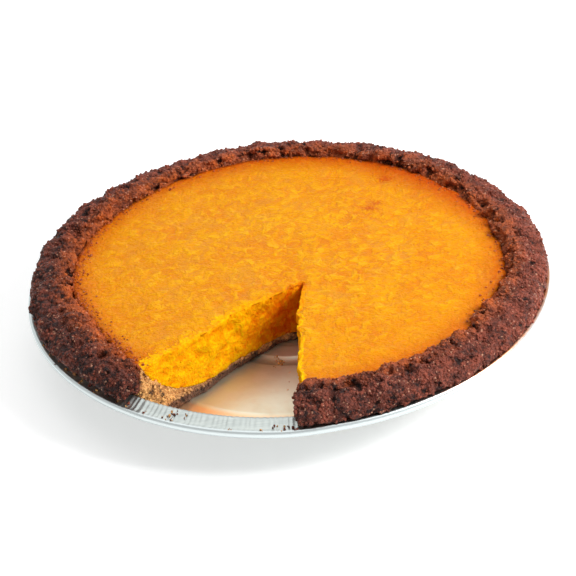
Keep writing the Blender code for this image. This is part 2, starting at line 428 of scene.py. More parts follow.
def filling_radius(turn):
    """How far the filling's edge is from the axis on this section plane."""
    return edge_radius(spot(turn, reach_of(turn, CREST_RADIUS), FILLING_TOP))


# %% [markdown]
# ## Outlines of a section
#
# On each plane the crust's upper face runs flat under the filling, sweeps up the side,
# comes out at the filling's edge and makes a rounded crest. Its lower face follows the
# pan. Two sizes of slow noise keep the crest from being perfectly round.

# %% Outlines of a section
FLOOR_COLUMNS = 20
SIDE_COLUMNS = 12
INNER_STEPS = 6
OUTER_STEPS = 10
CREST_WANDER = 0.0008
CREST_WANDER_SIZE = 0.0400
# How far the crust's outer edge stands off its even height: direction in degrees, lift.
EDGE_LIFT = (
    (-94, -0.0016), (-72, -0.0016), (-60, -0.0006), (-52, -0.0015), (-42, -0.0008),
    (-30, -0.0014), (-8, -0.0006), (2, 0.0006), (12, 0.0), (176, 0.0), (190, 0.0008),
    (198, 0.0002), (210, 0.0014), (218, 0.0010), (221, -0.0012),
)


def edge_lift(turn):
    return read_table(EDGE_LIFT, math.degrees(turn))


def crest_wander(turn, seed):
    around = Vector((math.cos(turn), math.sin(turn), seed))
    return CREST_WANDER * (2 * noise.noise(around * CREST_RADIUS / CREST_WANDER_SIZE))


def floor_line(turn, height):
    """Places along the flat floor, from just beyond the slice's tip to where the side bends up."""
    step = reach_of(turn, WALL_BEND_RADIUS) / FLOOR_COLUMNS
    return [spot(turn, step * column, height) for column in range(1, FLOOR_COLUMNS + 1)]


def side_line(turn, gap=0.0):
    """Places up the crust's inner side, from the floor to the filling's edge."""
    edge = filling_radius(turn)
    made = []
    for column in range(1, SIDE_COLUMNS + 1):
        share = column / SIDE_COLUMNS
        rise = 0.45 * share**2 + 0.55 * share**4
        radius = WALL_BEND_RADIUS + share * (edge - WALL_BEND_RADIUS) - gap * share
        height = CRUST_FLOOR + rise * (FILLING_TOP - CRUST_FLOOR) + gap * (1 - share)
        made.append(at(turn, Vector((radius, height))))
    return made


def dome_line(turn):
    """(radius, height) points over the bare crust, from the filling's edge to the outer edge."""
    edge = filling_radius(turn)
    crest = CREST_HEIGHT + crest_wander(turn, 4.1)
    crest_radius = CREST_RADIUS + crest_wander(turn, 0.3)
    outer_height = CRUST_EDGE_HEIGHT + edge_lift(turn)
    made = []
    for step in range(1, INNER_STEPS + 1):
        rise = math.pi / 2 * step / INNER_STEPS
        radius = crest_radius - (crest_radius - edge) * math.cos(rise)
        made.append(Vector((radius, FILLING_TOP + (crest - FILLING_TOP) * math.sin(rise))))
    for step in range(1, OUTER_STEPS + 1):
        fall = math.pi / 2 * step / OUTER_STEPS
        radius = crest_radius + (CRUST_RADIUS - crest_radius) * math.sin(fall)
        made.append(Vector((radius, outer_height + (crest - outer_height) * math.cos(fall))))
    return made


def more_points(line, count):
    """The same line with this many points. The longest stretches are split first."""
    parts = [1] * (len(line) - 1)
    lengths = [(after - before).length for before, after in zip(line, line[1:])]
    while sum(parts) + 1 < count:
        longest = max(range(len(parts)), key=lambda index: lengths[index] / parts[index])
        parts[longest] += 1
    made = [line[0]]
    for before, after, part in zip(line, line[1:], parts):
        made += [before.lerp(after, step / part) for step in range(1, part + 1)]
    return made


def pan_side_line():
    """(radius, height) points of the crust's face on the pan, outside the bend."""
    base = FOIL + FIT_GAP
    raised = base + RAISED_HEIGHT
    on_flange = FLANGE_TOP + 2 * FIT_GAP
    run = Vector((FLANGE_INNER_RADIUS - WALL_FOOT_RADIUS, FLANGE_TOP - WALL_FOOT_HEIGHT))
    off_wall = 2 * FIT_GAP * run.length / run.y
    foot = Vector((WALL_FOOT_RADIUS - off_wall, WALL_FOOT_HEIGHT))
    return [
        Vector((WALL_BEND_RADIUS, raised)),
        Vector((RAISED_RADIUS - STEP_WIDTH, raised)),
        Vector((RAISED_RADIUS, base)),
        Vector((BASE_FLAT_RADIUS - FIT_GAP, base)),
        foot,
        foot + 0.99 * run,
        Vector((FLANGE_INNER_RADIUS, on_flange)),
        Vector((CRUST_RADIUS - ROLL_RADIUS, on_flange)),
    ]


# %% [markdown]
# ## Sweeping a block of food
#
# A piece of food is the space between an upper and a lower skin. `sweep` joins the
# skins plane by plane and closes both cut faces, so that the piece has no holes. Only
# the faces that can be seen are divided finely. The hidden ones stay large, which keeps
# the mesh light.

# %% Sweep a block of food
SLICES = 330
HIDDEN, BARE, CUT = 0, 1, 2


def sweep(upper, lower, bare_from, cap_rows, bare_cuts, cap_cuts):
    """A closed block between two skins. upper(turn) and lower(turn) give places from the
    slice's tip outwards and end in one shared place. Upper faces from column bare_from on
    are bare."""
    shape = bmesh.new()
    turns = [RIGHT_CUT + (LEFT_CUT - RIGHT_CUT) * index / SLICES for index in range(SLICES + 1)]
    above = [upper(turn) for turn in turns]
    below = [lower(turn) for turn in turns]
    last = len(above[0]) - 1
    corners = {}

    def corner(plane, column, row):
        key = (plane if column else None, column, row if column < last else None)
        if key not in corners:
            low, high = below[plane][column], above[plane][column]
            corners[key] = shape.verts.new(low.lerp(high, row / cap_rows))
        return corners[key]

    def face(region, *places):
        distinct = list(dict.fromkeys(corner(*place) for place in places))
        if len(distinct) > 2:
            shape.faces.new(distinct).material_index = region

    for plane in range(SLICES):
        for column in range(last):
            for row in (0, cap_rows):
                bare = row == cap_rows and column >= bare_from
                near, far = (plane, column, row), (plane, column + 1, row)
                next_near, next_far = (plane + 1, column, row), (plane + 1, column + 1, row)
                face(BARE if bare else HIDDEN, near, next_near, next_far, far)
    for plane in (0, SLICES):
        for column in range(last):
            for row in range(cap_rows):
                near, far = (plane, column, row), (plane, column + 1, row)
                face(CUT, near, far, (plane, column + 1, row + 1), (plane, column, row + 1))
    for region, cuts in ((BARE, bare_cuts), (CUT, cap_cuts)):
        edges = {edge for f in shape.faces if f.material_index == region for edge in f.edges}
        bmesh.ops.subdivide_edges(shape, edges=list(edges), cuts=cuts, use_grid_fill=True)
    return shape


def store(mesh, name, values):
    """Keeps one number for every corner of a mesh under this name."""
    mesh.attributes.new(name, "FLOAT", "POINT").data.foreach_set("value", values)


def mark_region(mesh, name, region):
    """Stores 1 on every corner of a region's faces and 0 elsewhere."""
    values = [0.0] * len(mesh.vertices)
    for face in mesh.polygons:
        if face.material_index == region:
            for corner in face.vertices:
                values[corner] = 1.0
    store(mesh, name, values)


def make_piece(name, shape):
    """Turns a bmesh into an object at the origin, with its regions marked on the mesh."""
    bmesh.ops.recalc_face_normals(shape, faces=shape.faces)
    mesh = bpy.data.meshes.new(name)
    shape.to_mesh(mesh)
    shape.free()
    mark_region(mesh, "bare", BARE)
    mark_region(mesh, "cut", CUT)
    mesh.polygons.foreach_set("material_index", [0] * len(mesh.polygons))
    mesh.shade_smooth()
    made = bpy.data.objects.new(name, mesh)
    bpy.context.scene.collection.objects.link(made)
    return made


def count_triangles(piece):
    return sum(len(face.vertices) - 2 for face in piece.data.polygons)


# %% [markdown]
# ## Effects that several materials share
#
# Baked food and used foil are never one flat colour. Two effects come back in several
# materials, so each is a group of shader nodes with its own sizes: mottling for soft
# patches, and grain for packed crumbs.

# %% Shader groups


def object_place(tree):
    return result_of(tree, "ShaderNodeTexCoord", output="Object")


def mottling_group():
    tree, given, result = shader_group(
        "Mottling", ["Mask"], size=0.01, detail=3.0, twist=0.0, low=0.4, high=0.6
    )
    patches = noise_at(object_place(tree), 1.0 / given.size, given.detail, given.twist)
    patches.remap(given.low, given.high).feed(result["Mask"])
    return tree


def grain_group():
    """Packed crumbs: how high each one stands, and a tone of its own from 0 to 1."""
    tree, given, result = shader_group("Grain", ["Height", "Tone"], size=0.0015)
    place = object_place(tree)
    scale = 1.0 / given.size
    moved = place.vector("ADD", jitter(place, scale).scaled(given.size))
    cells = add_node(tree, "ShaderNodeTexVoronoi", {"Vector": moved, "Scale": scale}).outputs
    square = Value(tree, cells["Distance"]).math("POWER", 2.0)
    (1.0 - square).feed(result["Height"])
    tint = Value(tree, cells["Color"])
    result_of(tree, "ShaderNodeSeparateColor", {0: tint}).feed(result["Tone"])
    return tree


MOTTLING = mottling_group()
GRAIN = grain_group()


def mottling(tree, size, low, high, detail=3.0, twist=0.0):
    """Soft patches: 1 where the noise is above high, 0 where it is below low."""
    values = {"Size": size, "Low": low, "High": high, "Detail": detail, "Twist": twist}
    return result_of(tree, "ShaderNodeGroup", values, "Mask", node_tree=MOTTLING)


def grain(tree, size):
    """The height and the tone of packed crumbs of this size."""
    made = add_node(tree, "ShaderNodeGroup", {"Size": size}, node_tree=GRAIN).outputs
    return Value(tree, made["Height"]), Value(tree, made["Tone"])


def new_material(name, **sockets):
    """A material, its tree and its shader, with the values that don't vary over the surface."""
    made = bpy.data.materials.new(name)
    made.use_nodes = True
    shader = made.node_tree.nodes["Principled BSDF"]
    for label, value in sockets.items():
        shader.inputs[label.replace("_", " ")].default_value = value
    return made, made.node_tree, shader.inputs


def attribute(tree, name):
    return result_of(tree, "ShaderNodeAttribute", output="Fac", attribute_name=name)


def bump(height, distance, strength, shader):
    values = {"Height": height, "Distance": distance, "Strength": strength}
    result_of(height.tree, "ShaderNodeBump", values).feed(shader["Normal"])


def from_axis(tree):
    return flat_length(object_place(tree))


def towards(tree, side):
    """How far out a point is on this side of the pie."""
    return object_place(tree).vector("DOT_PRODUCT", side)


def height_of(tree):
    return result_of(tree, "ShaderNodeSeparateXYZ", {0: object_place(tree)}, 2)


# %% [markdown]
# ## Finish of the crumbs
#
# A crumb crust bakes from the outside in. The outer top is dark, nearly purple brown.
# The inner lip, by the filling, is reddish. Where the knife went through,
# the crumbs are golden tan at the side and grey brown under the filling. Each crumb
# also has a tone of its own. Painted shade darkens the cracks between crumbs and the
# front left side of the rim, which faces away from the key lamp, and a few pale grains
# double as painted glints.

# %% Crumb finishes
DARK_CRUMB = colour(34, 14, 12)
BROWN_CRUMB = colour(158, 80, 60)
RED_DARK_CRUMB = colour(92, 34, 14)
RED_CRUMB = colour(216, 108, 44)
# Pale grains, which also serve as painted glints.
PALE_CRUMB_AND_GLINT = colour(214, 160, 130)
TAN_CRUMB = colour(255, 196, 122)
TAN_DARK_CRUMB = colour(156, 90, 44)
GREY_CRUMB = colour(160, 112, 84)
GREY_DARK_CRUMB = colour(64, 38, 32)
# Painted shade for the cracks between crumbs.
CRACK_SHADE = colour(24, 11, 9)
TAN_REACH = 0.1055
TAN_SPREAD = 1.2
# Painted shade: the rim is darker on this side, which faces away from the key lamp.
SHADED_SIDE = (-0.75, -0.66, 0.0)
SIDE_SHADE_SHARE = 0.32


def browned_colour(tree, tone, speck, side_shade_share):
    """Baked crumbs: dark outside, red brown on the lip by the filling, painted shade on the
    side away from the key lamp, and a few pale grains that double as painted glints.
    """
    patches = mottling(tree, 0.007, 0.38, 0.62)
    # Painted shade on the side of the rim away from the key lamp.
    darkened = towards(tree, SHADED_SIDE).remap(-0.040, CREST_RADIUS, 0.0, side_shade_share)
    darkened = darkened * from_axis(tree).remap(0.1000, 0.1060)
    shade = tone * 0.5 + patches * 0.35 + speck * 0.25 - darkened
    outside = blend(shade, DARK_CRUMB, BROWN_CRUMB)
    inside = blend(shade, RED_DARK_CRUMB, RED_CRUMB)
    patchy = mottling(tree, 0.005, 0.35, 0.65).remap(0.0, 1.0, 0.4, 1.0)
    lip = from_axis(tree).remap(0.1030, 0.1115, 1.0, 0.0) * patchy
    # Pale grains that double as painted glints.
    pale = speck.remap(0.966, 0.972) * 0.55
    return blend(pale, blend(lip, outside, inside), PALE_CRUMB_AND_GLINT)


def broken_colour(tree, tone, speck):
    """Crumbs that the knife laid open: golden tan in the side, grey brown under the filling."""
    mixed = tone * 0.6 + speck * 0.4
    golden = blend(mixed, TAN_DARK_CRUMB, TAN_CRUMB)
    grey = blend(mixed, GREY_DARK_CRUMB, GREY_CRUMB)
    rise = (from_axis(tree) - 0.0200) * 0.055
    low = height_of(tree) - rise + mottling(tree, 0.005, 0.4, 0.6) * 0.002
    under = low.remap(0.0025, 0.0060, 1.0, 0.0)
    lowest = low.remap(0.0015, 0.0035, 0.5, 0.0)
    return blend(lowest, blend(under, golden, grey), GREY_DARK_CRUMB)


def crumb_material(name, loose, golden=0.0):
    """Baked crumbs. Loose crumbs have a tone each; in the crust it varies from place to place.
    golden is the share of crumbs that fell from the inside of the crust."""
    made, tree, shader = new_material(name, Roughness=0.48, Specular_IOR_Level=0.22)
    coarse_height, coarse_tone = grain(tree, 0.0015)
    fine_height, speck = grain(tree, 0.0007)
    tone = attribute(tree, "tone") if loose else coarse_tone
    base = browned_colour(tree, tone, speck, 0.0 if golden else SIDE_SHADE_SHARE)
    above = (height_of(tree) - FILLING_TOP) * TAN_SPREAD
    depth = from_axis(tree) + tone * 0.0020 + above
    open_side = depth.remap(TAN_REACH, TAN_REACH + 0.0012, 1.0, 0.0)
    base = blend(attribute(tree, "cut") * open_side, base, broken_colour(tree, tone, speck))
    if golden:
        tan = blend(speck, TAN_DARK_CRUMB, TAN_CRUMB)
        base = blend(tone.remap(0.9 - golden, 1.0 - golden), base, tan)
    if not loose:
        # Painted shade in the cracks, where the relief is low.
        base = blend(attribute(tree, "relief").remap(0.15, 0.65, 0.95, 0.0), base, CRACK_SHADE)
    base.feed(shader["Base Color"])
    bump(coarse_height + fine_height * 0.6, 0.0008, 1.0, shader)
    return made


CRUST_FINISH = crumb_material("baked_crumb_crust", False)
CRUMB_FINISH = crumb_material("baked_crumbs", True)
FALLEN_FINISH = crumb_material("fallen_crumbs", True, golden=0.4)
GOLDEN_FINISH = crumb_material("golden_crumbs", True, golden=1.0)

# %% [markdown]
# ## Crust
#
# The rim is pressed from wet crumbs by hand and bakes into a craggy ring. A modeller
# could sculpt it, but sculpting can't be repeated from sizes. Here the sweep gives the
# broad form, and a Geometry Nodes tree pushes the bare faces in and out by rounded lumps
# of two sizes. It stores how high each point stands, so that the finish can paint shade
# into the cracks.

# %% Relief of the crust


def crumbly_relief():
    tree, given, result = geometry_tree(
        "Crumbly relief",
        lump_size=0.0050,
        lump_height=0.0012,
        crumb_size=0.0020,
        crumb_height=0.0006,
        pit_size=0.0050,
        pit_depth=0.0018,
        cut_size=0.0016,
        cut_height=0.0005,
    )
    place = position(tree)
    bent = bent_place(place, 0.003)
    lumps = rounded_lumps(bent, given.lump_size)
    crumbs = rounded_lumps(bent, given.crumb_size)
    grains = rounded_lumps(bent, given.cut_size)
    pits = waves(place, given.pit_size, 1.0).remap(0.25, 0.75)
    radius = flat_length(place)
    calmer = radius.remap(CREST_RADIUS - 0.002, CRUST_RADIUS - 0.004, 1.5, 0.35)
    lumpy = (lumps - 0.8) * given.lump_height + pits * (given.pit_depth * -1.0)
    baked = lumpy * calmer + (crumbs - 0.8) * given.crumb_height
    baked = baked + waves(place, 0.0016, 4.0) * (given.crumb_height * 0.5)
    broken = (grains - 0.8) * given.cut_height + waves(place, 0.0035, 4.0) * given.cut_height
    broken = broken * radius.remap(0.085, 0.100, 0.4, 1.0)
    push = baked * softened(tree, "bare", 2) + broken * softened(tree, "cut", 1)
    # How high each point stands; the finish paints shade into the low places.
    relief = lumps * 0.4 + crumbs * 0.6 + pits * -0.6
    finish_tree(store_value(push_out(given.geometry, push), "relief", relief), given, result)
    return tree


CRUMBLY_RELIEF = crumbly_relief()

# %% Faces of the crust
CRUMB_LUMP = 0.0016
CRUMB_LUMP_SIZE = 0.0100
# The inner lip is roughest on this side, where the crumbs were pressed least.
ROUGH_SIDE = Vector((0.95, 0.10, 0.0))
INNER_LUMPS = 0.0042
INNER_LUMP_SIZE = 0.0060


def lumps(place):
    """Broad lumps from -1 to 1, in two sizes."""
    coarse = noise.noise(place / CRUMB_LUMP_SIZE)
    fine = noise.noise(place * 2.3 / CRUMB_LUMP_SIZE)
    return coarse + 0.7 * fine


def crust_top(turn):
    """The crust's upper face on one section plane, lumpy where it is bare."""
    outwards = Vector((math.cos(turn), math.sin(turn), 0))
    dome = dome_line(turn)
    rougher = INNER_LUMPS * ease(outwards.dot(ROUGH_SIDE))
    bare = []
    before = Vector((filling_radius(turn), FILLING_TOP))
    for step, (point, after) in enumerate(zip(dome, dome[1:])):
        slope = (after - before).normalized()
        place = at(turn, point)
        push = CRUMB_LUMP * lumps(place)
        if step < INNER_STEPS - 3:
            push += rougher * max(noise.noise(place / INNER_LUMP_SIZE), -0.3)
        bare.append(place + push * (slope.x * Vector((0, 0, 1)) - slope.y * outwards))
        before = point
    flat = [spot(turn, 0.0, CRUST_FLOOR), *floor_line(turn, CRUST_FLOOR)]
    return [*flat, *side_line(turn), *bare, at(turn, dome[-1])]


PAN_SIDE = more_points(pan_side_line(), SIDE_COLUMNS + INNER_STEPS + OUTER_STEPS)


def crust_bottom(turn):
    """The crust's lower face on one section plane, on the pan."""
    base = FOIL + RAISED_HEIGHT + FIT_GAP
    lift = max(edge_lift(turn), -FIT_GAP)
    outside = []
    for point in PAN_SIDE[1:]:
        over = max(point.x - FLANGE_INNER_RADIUS, 0) / (CRUST_RADIUS - FLANGE_INNER_RADIUS)
        outside.append(at(turn, point + Vector((0, lift * over))))
    dome_edge = at(turn, dome_line(turn)[-1])
    return [spot(turn, 0.0, base), *floor_line(turn, base), *outside, dome_edge]


# %% Crust
TOE = 0.0065
TOE_REACH = 0.0150
CUT_ROUGHNESS = 0.0006
CUT_GRAIN = 0.0060


def toe_share(place):
    """From 1 on the pan's wall at the flange to 0 at the floor or some way into the food."""
    slope = (FLANGE_INNER_RADIUS - WALL_FOOT_RADIUS) / (FLANGE_TOP - WALL_FOOT_HEIGHT)
    wall_radius = WALL_FOOT_RADIUS + slope * (place.z - WALL_FOOT_HEIGHT)
    apart = abs(wall_radius - place.xy.length)
    near_wall = min(max(1.5 * (1 - apart / TOE_REACH), 0.0), 1.0)
    return near_wall * min(place.z / FLANGE_TOP, 1.0)


def shape_cuts(shape, toe):
    """Breaks up both cut faces and slumps the left end of the crust into the missing slice."""
    middle = (LEFT_CUT + RIGHT_CUT) / 2 - math.pi
    faces = [face for face in shape.faces if face.material_index == CUT]
    for vertex in {vertex for face in faces for vertex in face.verts}:
        offset = (vertex.co - SLICE_TIP.to_3d()).xy
        if offset.length < CUT_GRAIN:
            continue
        move = CUT_ROUGHNESS * noise.noise(vertex.co / CUT_GRAIN)
        if math.atan2(offset.y, offset.x) < middle:
            move += toe * toe_share(vertex.co)
        vertex.co.rotate(Matrix.Rotation(move / vertex.co.xy.length, 3, "Z"))


shape = sweep(crust_top, crust_bottom, FLOOR_COLUMNS + SIDE_COLUMNS, 8, 2, 2)
shape_cuts(shape, TOE)
crust = make_piece("crumb_crust", shape)
grow(
    crust,
    CRUMBLY_RELIEF,
    lump_size=0.0068,
    lump_height=0.0026,
    crumb_size=0.0030,
    crumb_height=0.0009,
    pit_size=0.0055,
    pit_depth=0.0024,
    cut_size=0.0024,
    cut_height=0.0011,
    finish=CRUST_FINISH,
)
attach(crust, "root")
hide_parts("crust")
print("crust:", count_triangles(crust), "triangles")

# %% [markdown]
# ## Crumbs on the crust
#
# Single crumbs stand out of the pressed surface all over the rim. They are instances of
# one small round shape, scattered over the bare faces with a fixed seed. Each gets its
# own size, turn and tone, and after they are made real a fine noise dents every one of
# them differently.

# %% Crumbs


def crumbs_on_points():
    """Turns points that hold a size into dented crumbs."""
    tree, given, result = geometry_tree("Crumbs on points", roundness=1, dent=0.0006, seed=1)
    values = {"Radius": 0.5, "Subdivisions": given.roundness}
    ball = result_of(tree, "GeometryNodeMeshIcoSphere", values)
    chance = partial(result_of, tree, "FunctionNodeRandomValue")
    low, high = (0.75, 0.75, 0.65), (1.25, 1.25, 1.0)
    squash = chance({0: low, 1: high, "Seed": given.seed}, data_type="FLOAT_VECTOR")
    low, high = (0.0, 0.0, 0.0), (6.28, 6.28, 6.28)
    values = {
        "Points": given.geometry,
        "Instance": ball,
        "Rotation": chance({0: low, 1: high, "Seed": given.seed}, data_type="FLOAT_VECTOR"),
        "Scale": squash.scaled(named_value(tree, "size")),
    }
    placed = result_of(tree, "GeometryNodeInstanceOnPoints", values)
    placed = store_value(placed, "tone", chance({"Seed": given.seed}, 1), "INSTANCE")
    dents = jitter(position(tree), 1100.0).scaled(given.dent)
    finish_tree(shifted(made_real(placed), dents), given, result)
    return tree


CRUMBS_ON_POINTS = crumbs_on_points()


def scattered_crumbs():
    tree, given, result = geometry_tree(
        "Scattered crumbs",
        where="bare",
        per_square_metre=400000.0,
        smallest=0.0007,
        largest=0.0024,
        seed=3,
    )
    height = result_of(tree, "ShaderNodeSeparateXYZ", {0: position(tree)}, 2)
    above_pan = height.remap(0.0025, 0.0040)
    density = named_value(tree, given.where) * above_pan * given.per_square_metre
    values = {"Mesh": given.geometry, "Density": density, "Seed": given.seed}
    points = result_of(tree, "GeometryNodeDistributePointsOnFaces", values)
    chance = result_of(tree, "FunctionNodeRandomValue", {"Seed": given.seed}, 1)
    size = chance.math("POWER", 2.5).remap(0.0, 1.0, given.smallest, given.largest)
    values = {
        "Geometry": store_value(points, "size", size),
        "Roundness": 1,
        "Dent": 0.0008,
        "Seed": given.seed,
        "Finish": given.finish,
    }
    crumbs = result_of(tree, "GeometryNodeGroup", values, node_tree=CRUMBS_ON_POINTS)
    finish_tree(crumbs, given, result)
    return tree


SCATTERED_CRUMBS = scattered_crumbs()


def scatter(name, ground, slot, where, per_square_metre, smallest, largest, seed, finish):
    """Crumbs on the marked part of another piece's surface."""
    made = bpy.data.objects.new(name, ground.data.copy())
    bpy.context.scene.collection.objects.link(made)
    grow(
        made,
        SCATTERED_CRUMBS,
        where=where,
        per_square_metre=per_square_metre,
        smallest=smallest,
        largest=largest,
        seed=seed,
        finish=finish,
    )
    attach(made, "root")
    print(name + ":", count_triangles(made), "triangles")


on_crust = partial(scatter, ground=crust, slot="crumb_crust", finish=CRUMB_FINISH)
on_crust("rim_crumbs", where="bare", per_square_metre=3.8e5, smallest=4e-4, largest=2e-3, seed=3)
on_crust("cut_crumbs", where="cut", per_square_metre=6e5, smallest=5e-4, largest=2e-3, seed=8)

# %% [markdown]
# ## Filling
#
# Baked sweet potato puree sets with a thin satin skin. The skin is mottled: yellower
# where the puree is smooth, tan in streaks where it dried, browner beside the crust. A
# painted shadow of the crust lies over its back right edge. The knife tears the skin, so
# the cut faces are brighter, matt and crumbly, with painted shade in deep orange in their
# hollows and near the slice's tip. Light goes a little way into the puree, which the
# shader's subsurface part imitates.

# %% Filling finish
SKIN_YELLOW = colour(232, 168, 3)
SKIN_ORANGE = colour(218, 126, 2)
SKIN_DULL = colour(214, 138, 42)
SKIN_BRIGHT = colour(244, 188, 30)
SKIN_CREASE = colour(202, 100, 2)
SKIN_BROWN = colour(150, 54, 2)
SKIN_RED = colour(186, 62, 8)
CUT_YELLOW = colour(255, 196, 6)
CUT_ORANGE = colour(250, 160, 3)
# Painted shade on the cut faces, in their hollows and near the slice's tip.
PAINTED_CUT_SHADE = colour(214, 74, 0)
# Painted shadow: the crust's shadow on the back right edge of the filling.
CRUST_SHADOW_SIDE = (0.78, 0.62, 0.0)
# Browned marks in the skin: place, size.
BLEMISHES = (
    ((0.0426, 0.0445, FILLING_TOP), 0.0060),
    ((0.0459, 0.0490, FILLING_TOP), 0.0050),
    ((0.0520, 0.0725, FILLING_TOP), 0.0060),
)


def blemish_mask(tree, ragged):
    """1 on the browned marks, with ragged edges."""
    mask = 0.0
    for place, size in BLEMISHES:
        apart = object_place(tree).vector("DISTANCE", place) + ragged * (0.5 * size)
        mask = apart.remap(0.3 * size, size, 1.0, 0.0).math("MAXIMUM", mask)
    return mask


def torn_colour(tree, tone, swirls):
    """The cut faces: bright, with painted shade in deep orange in their hollows and near the tip.
    """
    middle = (*SLICE_TIP, FILLING_TOP / 2)
    from_tip = object_place(tree).vector("DISTANCE", middle)
    # Painted shade near the slice's tip, where the cut faces get little light.
    deep = from_tip.remap(0.0150, 0.0400, 1.0, 0.0) * height_of(tree).remap(0.0020, 0.0060)
    deep = deep * swirls.remap(0.0, 1.0, 0.8, 0.45)
    bright = blend(tone * 0.5, CUT_ORANGE, CUT_YELLOW)
    # Painted shade in deep orange in the hollows of the torn faces.
    return blend_all(bright, ((deep, PAINTED_CUT_SHADE), (attribute(tree, "hollow") * 0.42, PAINTED_CUT_SHADE)))


def filling_material():
    made, tree, shader = new_material(
        "baked_puree",
        Subsurface_Weight=0.30,
        Subsurface_Radius=(1.0, 0.30, 0.05),
        Subsurface_Scale=0.003,
        Specular_IOR_Level=0.09,
        Specular_Tint=(1.0, 0.72, 0.3, 1.0),
    )
    mottled = partial(mottling, tree)
    broad = mottled(0.025, 0.38, 0.62)
    swirls = mottled(0.0045, 0.42, 0.56, 5.0, 1.2)
    dull = mottled(0.012, 0.54, 0.64, 4.0, 1.2)
    bright = mottled(0.0044, 0.54, 0.64, 4.0, 0.8)
    flecks = mottled(0.0013, 0.46, 0.58, 4.0)
    pores = mottled(0.0011, 0.61, 0.66, 2.0)
    slow = mottled(0.008, 0.3, 0.7, 4.0, 1.5)
    creases = (slow - 0.5).math("ABSOLUTE").remap(0.0, 0.07, 1.0, 0.0)
    rim = (from_axis(tree) + (swirls - 0.5) * 0.004).remap(0.0880, 0.1040)
    darkened = flecks.math("MULTIPLY_ADD", 0.2, attribute(tree, "spill"))
    # Painted shadow of the crust on the filling's back right edge.
    crust_shadow = towards(tree, CRUST_SHADOW_SIDE).remap(0.0780, 0.0980, 0.0, 0.6)
    layers = (
        (broad * 0.4, SKIN_YELLOW),
        (swirls * 0.5, SKIN_YELLOW),
        (dull * 0.5, SKIN_DULL),
        (bright * 0.4, SKIN_BRIGHT),
        (creases * 0.4, SKIN_CREASE),
        (flecks * 0.15, SKIN_ORANGE),
        (pores * 0.2, SKIN_BROWN),
        (from_axis(tree).remap(0.0500, 0.0950, 0.0, 0.35), SKIN_ORANGE),
        (crust_shadow, SKIN_RED),
        (rim * 0.85, SKIN_RED),
        (darkened.remap(0.2, 0.9, 0.0, 0.55), SKIN_BROWN),
        (blemish_mask(tree, flecks) * 0.75, SKIN_RED),
    )
    skin = blend_all(SKIN_ORANGE, layers)
    grain_height, grain_tone = grain(tree, 0.0014)
    torn = torn_colour(tree, grain_tone + flecks, swirls)
    fresh = (flecks * 0.25 + swirls * 0.35 + attribute(tree, "torn")).remap(0.62, 0.80)
    blend(fresh, skin, torn).feed(shader["Base Color"])
    (swirls.remap(0.0, 1.0, 0.36, 0.5) + fresh * 0.2).feed(shader["Roughness"])
    height = flecks * 0.5 + swirls * 0.7 + bright * 0.5 + creases * -0.5
    bump(height + grain_height * fresh * 0.8, 0.0004, 0.65, shader)
    return made


FILLING_FINISH = filling_material()

# %% Relief of the filling


def puree_relief():
    """A skin with soft waves and small wrinkles, and torn crumbly cut faces."""
    tree, given, result = geometry_tree(
        "Puree relief",
        wave_height=0.00025,
        wrinkle_height=0.00012,
        tear_size=0.0045,
        tear_height=0.0009,
        grain_size=0.0018,
        grain_height=0.0004,
    )
    place = position(tree)
    skin = waves(place, 0.0200) * given.wave_height
    skin = skin + waves(place, 0.0040, 3.0) * given.wrinkle_height
    grains = rounded_lumps(bent_place(place, 0.004), given.grain_size) - 0.7
    tears = waves(place, given.tear_size, 5.0)
    torn = tears * given.tear_height + grains * given.grain_height
    beside = named_value(tree, "torn") * softened(tree, "bare", 1)
    push = skin * softened(tree, "bare", 2) + torn * softened(tree, "cut", 2)
    push = push + (torn * 0.7 - 0.0004) * beside
    # The low places of the torn faces, which the finish fills with painted shade.
    hollow = torn.remap(-0.0004, 0.0001, 1.0, 0.0)
    finish_tree(store_value(push_out(given.geometry, push), "hollow", hollow), given, result)
    return tree


PUREE_RELIEF = puree_relief()

# %% Faces of the filling


def filling_top(turn):
    """The skin on one section plane."""
    bend = reach_of(turn, WALL_BEND_RADIUS)
    reach = reach_of(turn, filling_radius(turn) - FIT_GAP)
    made = [spot(turn, 0.0, FILLING_TOP), *floor_line(turn, FILLING_TOP)]
    for column in range(1, SIDE_COLUMNS + 1):
        share = column / SIDE_COLUMNS
        made.append(spot(turn, bend + (reach - bend) * share, FILLING_TOP))
    return made


def filling_bottom(turn):
    floor = CRUST_FLOOR + FIT_GAP
    side = side_line(turn, FIT_GAP)
    return [
        spot(turn, 0.0, floor), *floor_line(turn, floor), *side[:-1], filling_top(turn)[-1]
    ]


# %% Marks on the filling
# How many crumbs of the crust lie on the filling's edge: azimuth in degrees, share.
SPILL = (
    (-180, 1.0), (-135, 0.9), (-128, 0.5), (-94, 0.35), (-40, 0.25), (20, 0.5),
    (60, 0.35), (120, 0.4), (150, 0.7), (180, 1.0),
)
SPILL_WIDTH = 0.0100
LEFT_BAND = 0.0070
RIGHT_BAND = 0.0030


def mark_spill(mesh):
    """Stores how thickly crumbs lie on the skin, from 1 at its edge to 0 some way in."""
    values = []
    for vertex in mesh.vertices:
        share = read_table(SPILL, math.degrees(math.atan2(vertex.co.y, vertex.co.x)))
        width = SPILL_WIDTH * (0.4 + 0.6 * share)
        from_edge = edge_radius(vertex.co) - vertex.co.xy.length
        on_top = vertex.co.z > FILLING_TOP - 0.001
        values.append(share * max(1 - from_edge / width, 0.0) ** 2 if on_top else 0.0)
    store(mesh, "spill", values)


